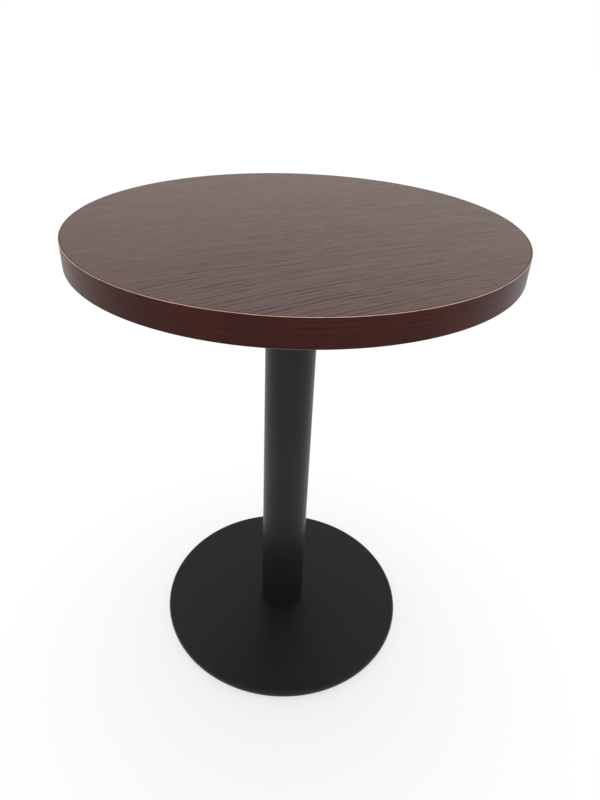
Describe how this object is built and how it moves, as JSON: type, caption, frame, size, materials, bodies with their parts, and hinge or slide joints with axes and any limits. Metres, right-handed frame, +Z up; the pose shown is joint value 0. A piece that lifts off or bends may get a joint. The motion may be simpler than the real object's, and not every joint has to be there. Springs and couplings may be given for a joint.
{
  "type": "round pedestal table",
  "caption": "Round table with a thick wood-grain laminate top on a black steel column and flat disc base, standing on screw-in levelling feet.",
  "frame": {"origin": "on the floor, on the column's axis", "axes": "+Z up along the column, +X to the right as the picture sees it, +Y to the back"},
  "size_m": [0.6, 0.6, 0.73],
  "materials": {
    "face_laminate": "satin dark reddish-brown wood-grain laminate",
    "edge_laminate": "satin dark reddish-brown wood-grain edge band, pale where it is trimmed",
    "back_laminate": "matte dark brown balancing laminate",
    "particle_board": "raw particle board",
    "black_powder_coat": "fine-textured matte black powder coat on steel",
    "zinc_steel": "bright zinc-plated steel",
    "black_nylon": "moulded black nylon"
  },
  "bodies": {
    "table": {"top_face_sheet": "face_laminate", "top_edge_band": "edge_laminate", "top_back_sheet": "back_laminate", "top_core": "particle_board", "spider": "black_powder_coat", "spider_locating_ring": "black_powder_coat", "spider_screw_1": "zinc_steel", "spider_screw_2": "zinc_steel", "spider_screw_3": "zinc_steel", "spider_screw_4": "zinc_steel", "spider_screw_5": "zinc_steel", "spider_screw_6": "zinc_steel", "spider_screw_7": "zinc_steel", "spider_screw_8": "zinc_steel", "column_tube": "black_powder_coat", "tie_rod": "zinc_steel", "tie_rod_nut": "zinc_steel", "tie_rod_jam_nut": "zinc_steel", "tie_rod_washer": "zinc_steel", "tie_rod_spring_washer": "zinc_steel", "base_locating_ring": "black_powder_coat", "base_plate": "black_powder_coat"},
    "pad_1": {"foot_pad_1": "black_nylon"},
    "pad_2": {"foot_pad_2": "black_nylon"},
    "pad_3": {"foot_pad_3": "black_nylon"},
    "pad_4": {"foot_pad_4": "black_nylon"},
    "stud_1": {"foot_stud_1": "zinc_steel"},
    "stud_2": {"foot_stud_2": "zinc_steel"},
    "stud_3": {"foot_stud_3": "zinc_steel"},
    "stud_4": {"foot_stud_4": "zinc_steel"}
  },
  "joints": [
    {"name": "foot_1_travel", "type": "slide", "parent": "table", "child": "pad_1", "axis": [0, 0, -1], "range_m": [0, 0.005]},
    {"name": "foot_1_turn", "type": "hinge", "parent": "pad_1", "child": "stud_1", "pos_m": [0.12374, 0.12374, 0.005], "axis": [0, 0, -1], "range_deg": [0, 1440]},
    {"name": "foot_2_travel", "type": "slide", "parent": "table", "child": "pad_2", "axis": [0, 0, -1], "range_m": [0, 0.005]},
    {"name": "foot_2_turn", "type": "hinge", "parent": "pad_2", "child": "stud_2", "pos_m": [-0.12374, 0.12374, 0.005], "axis": [0, 0, -1], "range_deg": [0, 1440]},
    {"name": "foot_3_travel", "type": "slide", "parent": "table", "child": "pad_3", "axis": [0, 0, -1], "range_m": [0, 0.005]},
    {"name": "foot_3_turn", "type": "hinge", "parent": "pad_3", "child": "stud_3", "pos_m": [-0.12374, -0.12374, 0.005], "axis": [0, 0, -1], "range_deg": [0, 1440]},
    {"name": "foot_4_travel", "type": "slide", "parent": "table", "child": "pad_4", "axis": [0, 0, -1], "range_m": [0, 0.005]},
    {"name": "foot_4_turn", "type": "hinge", "parent": "pad_4", "child": "stud_4", "pos_m": [0.12374, -0.12374, 0.005], "axis": [0, 0, -1], "range_deg": [0, 1440]}
  ],
  "couplings": [
    {"joint": "foot_1_turn", "follows": "foot_1_travel", "rad_per_m": 5026.5},
    {"joint": "foot_2_turn", "follows": "foot_2_travel", "rad_per_m": 5026.5},
    {"joint": "foot_3_turn", "follows": "foot_3_travel", "rad_per_m": 5026.5},
    {"joint": "foot_4_turn", "follows": "foot_4_travel", "rad_per_m": 5026.5}
  ]
}
